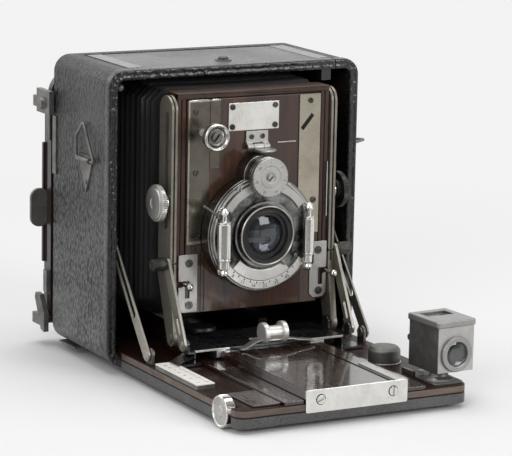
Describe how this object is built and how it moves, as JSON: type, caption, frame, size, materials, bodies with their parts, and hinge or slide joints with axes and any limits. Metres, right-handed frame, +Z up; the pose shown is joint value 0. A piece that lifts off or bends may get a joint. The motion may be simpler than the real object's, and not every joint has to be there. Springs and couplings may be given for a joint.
{
  "type": "folding plate camera",
  "caption": "Leather-covered box camera with a folding bed, bellows, a slotted lens standard, a leaf shutter with two air cylinders, a reflecting finder and a plate holder.",
  "frame": {"origin": "centre of the tripod bush's mouth, in the plane of the body's underside", "axes": "+Z up, -Y the way the lens looks, +X to the right of someone who faces the lens"},
  "size_m": [0.1819, 0.2246, 0.1659],
  "materials": {
    "black_leather": "fine pebbled, satin",
    "body_wood": "dark stained, satin",
    "polished_wood": "dark red, polished",
    "bellows_cloth": "matte, pleated",
    "nickel": "old nickel plate",
    "aged_brass": "worn and toned",
    "dark_metal": "tarnished",
    "black_enamel": "gloss, chipped",
    "black_rubber": "hard, polished",
    "ivory": "aged, satin",
    "plate_glass": "polished",
    "finder_glass": "polished",
    "lens_glass": "polished"
  },
  "bodies": {
    "root": {"body_carcass": "body_wood", "leather_cover": "black_leather", "base_fittings": "aged_brass", "inner_frame": "body_wood", "body_pins": "nickel", "strap_plates": "dark_metal", "bellows_rear": "bellows_cloth", "back_frame": "body_wood", "plate_holder": "body_wood", "glass_plate": "plate_glass"},
    "roof_flap": {"top_flap": "body_wood", "flap_leather": "black_leather"},
    "flap_button": {"release_button": "black_rubber"},
    "strap_loop_left": {"strap_loop_left": "dark_metal"},
    "strap_loop_right": {"strap_loop_right": "dark_metal"},
    "sheath": {"sheath": "dark_metal"},
    "back_catch_upper": {"back_catch_upper": "dark_metal"},
    "back_catch_lower": {"back_catch_lower": "dark_metal"},
    "bed": {"bed_board": "polished_wood", "bed_leather": "black_leather", "bed_guides": "polished_wood", "scale_plate": "ivory", "bed_fittings": "aged_brass"},
    "track": {"focus_track": "polished_wood", "track_plates": "nickel"},
    "focus_wheel": {"focus_wheel": "nickel"},
    "stay_left": {"stay_left": "dark_metal"},
    "stay_right": {"stay_right": "dark_metal"},
    "bed_knob": {"bed_knob": "black_rubber"},
    "finder": {"finder_hood": "dark_metal", "finder_glass": "finder_glass"},
    "bellows_rib": {"bellows_rib": "bellows_cloth"},
    "standard": {"carriage": "dark_metal", "uprights": "aged_brass", "brace_arms": "aged_brass", "bellows_front": "bellows_cloth"},
    "brace_knob_left": {"brace_knob_left": "dark_metal"},
    "brace_knob_right": {"brace_knob_right": "dark_metal"},
    "track_clamp": {"track_clamp": "nickel"},
    "rise": {"clamp_studs": "nickel"},
    "clamp_knob_left": {"clamp_knob_left": "nickel"},
    "clamp_knob_right": {"clamp_knob_right": "nickel"},
    "panel": {"panel_frame": "polished_wood", "lens_board": "polished_wood", "side_plates": "aged_brass", "panel_plates": "nickel", "shutter_case": "black_enamel", "shutter_face": "nickel", "brake_cylinders": "nickel", "lens_barrel": "black_enamel", "lens_glasses": "lens_glass"},
    "bracket_pin_left": {"bracket_pin_left": "nickel"},
    "bracket_pin_right": {"bracket_pin_right": "nickel"},
    "panel_knob": {"panel_knob": "nickel"},
    "catch_tongue": {"catch_tongue": "nickel"},
    "speed_dial": {"speed_dial": "nickel"},
    "aperture_pointer": {"aperture_pointer": "dark_metal"},
    "release_lever": {"release_lever": "nickel"},
    "blade_upper": {"blade_upper": "black_rubber"},
    "blade_lower": {"blade_lower": "black_rubber"}
  },
  "joints": [
    {"name": "standard_slide", "type": "slide", "parent": "root", "child": "bellows_rib", "axis": [0, 1, 0], "range_m": [0, 0.03], "deforming": ["bellows_rear"]},
    {"name": "focus", "type": "slide", "parent": "bellows_rib", "child": "standard", "axis": [0, 1, 0], "range_m": [-0.012, 0], "deforming": ["bellows_front"]},
    {"name": "front_rise", "type": "slide", "parent": "standard", "child": "rise", "axis": [0, 0, 1], "range_m": [-0.006, 0.015], "deforming": ["bellows_front"]},
    {"name": "front_tilt", "type": "hinge", "parent": "rise", "child": "panel", "pos_m": [0, -0.0525, 0.09], "axis": [1, 0, 0], "range_deg": [-8, 8], "deforming": ["bellows_front"]},
    {"name": "bed_fold", "type": "hinge", "parent": "root", "child": "bed", "pos_m": [0, -0.0285, 0.00515], "axis": [-1, 0, 0], "range_deg": [-15, 90]},
    {"name": "track_slide", "type": "slide", "parent": "bed", "child": "track", "axis": [0, 1, 0], "range_m": [-0.012, 0]},
    {"name": "wheel_turn", "type": "hinge", "parent": "bed", "child": "focus_wheel", "pos_m": [-0.066, -0.1535, 0.0034], "axis": [1, 0, 0], "range_deg": [-200, 200]},
    {"name": "stay_left_turn", "type": "hinge", "parent": "bed", "child": "stay_left", "pos_m": [-0.0662, -0.066, 0.0125], "axis": [1, 0, 0], "range_deg": [-12, 60]},
    {"name": "stay_right_turn", "type": "hinge", "parent": "bed", "child": "stay_right", "pos_m": [0.0662, -0.066, 0.0125], "axis": [1, 0, 0], "range_deg": [-12, 60]},
    {"name": "bed_knob_turn", "type": "hinge", "parent": "bed", "child": "bed_knob", "pos_m": [0.051, -0.112, 0.01], "axis": [0, 0, 1], "range_deg": [0, 90]},
    {"name": "finder_turn", "type": "hinge", "parent": "bed", "child": "finder", "pos_m": [0.057, -0.157, 0.012], "axis": [0, 0, 1], "range_deg": [0, 90]},
    {"name": "flap_hinge", "type": "hinge", "parent": "root", "child": "roof_flap", "pos_m": [0, 0.0258, 0.1567], "axis": [-1, 0, 0], "range_deg": [0, 95]},
    {"name": "button_press", "type": "slide", "parent": "roof_flap", "child": "flap_button", "axis": [0, 0, -1], "range_m": [0, 0.0012], "stiffness_N_per_m": 150},
    {"name": "loop_left_swing", "type": "hinge", "parent": "root", "child": "strap_loop_left", "pos_m": [-0.0768, -0.01, 0.1075], "axis": [0, 1, 0], "range_deg": [-178, 0]},
    {"name": "loop_right_swing", "type": "hinge", "parent": "root", "child": "strap_loop_right", "pos_m": [0.0768, -0.01, 0.1075], "axis": [0, 1, 0], "range_deg": [-88, 88]},
    {"name": "sheath_pull", "type": "slide", "parent": "root", "child": "sheath", "axis": [-1, 0, 0], "range_m": [0, 0.11]},
    {"name": "catch_upper_turn", "type": "hinge", "parent": "root", "child": "back_catch_upper", "pos_m": [-0.075, 0.0398, 0.131], "axis": [1, 0, 0], "range_deg": [0, 50]},
    {"name": "catch_lower_turn", "type": "hinge", "parent": "root", "child": "back_catch_lower", "pos_m": [-0.075, 0.0398, 0.009], "axis": [1, 0, 0], "range_deg": [-50, 0]},
    {"name": "brace_knob_left_turn", "type": "hinge", "parent": "standard", "child": "brace_knob_left", "pos_m": [-0.055, -0.057, 0.058], "axis": [1, 0, 0], "range_deg": [0, 90]},
    {"name": "brace_knob_right_turn", "type": "hinge", "parent": "standard", "child": "brace_knob_right", "pos_m": [0.055, -0.057, 0.058], "axis": [1, 0, 0], "range_deg": [0, 90]},
    {"name": "clamp_press", "type": "hinge", "parent": "standard", "child": "track_clamp", "pos_m": [0, -0.07, 0.0161], "axis": [1, 0, 0], "range_deg": [-8, 0], "stiffness_Nm_per_rad": 0.3},
    {"name": "clamp_knob_left_turn", "type": "hinge", "parent": "rise", "child": "clamp_knob_left", "pos_m": [-0.054, -0.0525, 0.09], "axis": [1, 0, 0], "range_deg": [0, 90]},
    {"name": "clamp_knob_right_turn", "type": "hinge", "parent": "rise", "child": "clamp_knob_right", "pos_m": [0.054, -0.0525, 0.09], "axis": [1, 0, 0], "range_deg": [0, 90]},
    {"name": "bracket_pin_left_slide", "type": "slide", "parent": "panel", "child": "bracket_pin_left", "axis": [1, 0, 0], "range_m": [0, 0.0026]},
    {"name": "bracket_pin_right_slide", "type": "slide", "parent": "panel", "child": "bracket_pin_right", "axis": [1, 0, 0], "range_m": [-0.0026, 0]},
    {"name": "panel_knob_turn", "type": "hinge", "parent": "panel", "child": "panel_knob", "pos_m": [-0.0315, -0.066, 0.1268], "axis": [0, 1, 0], "range_deg": [0, 90]},
    {"name": "tongue_swing", "type": "hinge", "parent": "panel", "child": "catch_tongue", "pos_m": [0.003, -0.0594, 0.1176], "axis": [1, 0, 0], "range_deg": [-80, 0]},
    {"name": "speed_dial_turn", "type": "hinge", "parent": "panel", "child": "speed_dial", "pos_m": [0, -0.075, 0.1037], "axis": [0, 1, 0], "range_deg": [0, 270]},
    {"name": "aperture_turn", "type": "hinge", "parent": "panel", "child": "aperture_pointer", "pos_m": [0, -0.071, 0.0724], "axis": [0, -1, 0], "range_deg": [-25, 70]},
    {"name": "release_press", "type": "hinge", "parent": "panel", "child": "release_lever", "pos_m": [-0.0265, -0.0705, 0.0835], "axis": [0, -1, 0], "range_deg": [0, 15], "stiffness_Nm_per_rad": 0.02},
    {"name": "blade_upper_slide", "type": "slide", "parent": "panel", "child": "blade_upper", "axis": [0, 0, 1], "range_m": [0, 0.0115], "stiffness_N_per_m": 20},
    {"name": "blade_lower_slide", "type": "slide", "parent": "panel", "child": "blade_lower", "axis": [0, 0, 1], "range_m": [-0.0115, 0]}
  ],
  "couplings": [
    {"joint": "bed_fold", "follows": "standard_slide", "rad_per_m": -8.7266},
    {"joint": "stay_left_turn", "follows": "standard_slide", "rad_per_m": -6.1843},
    {"joint": "stay_right_turn", "follows": "standard_slide", "rad_per_m": -6.1843},
    {"joint": "track_slide", "follows": "focus", "ratio": 1},
    {"joint": "wheel_turn", "follows": "focus", "rad_per_m": -277.78},
    {"joint": "blade_lower_slide", "follows": "blade_upper_slide", "ratio": -1}
  ]
}
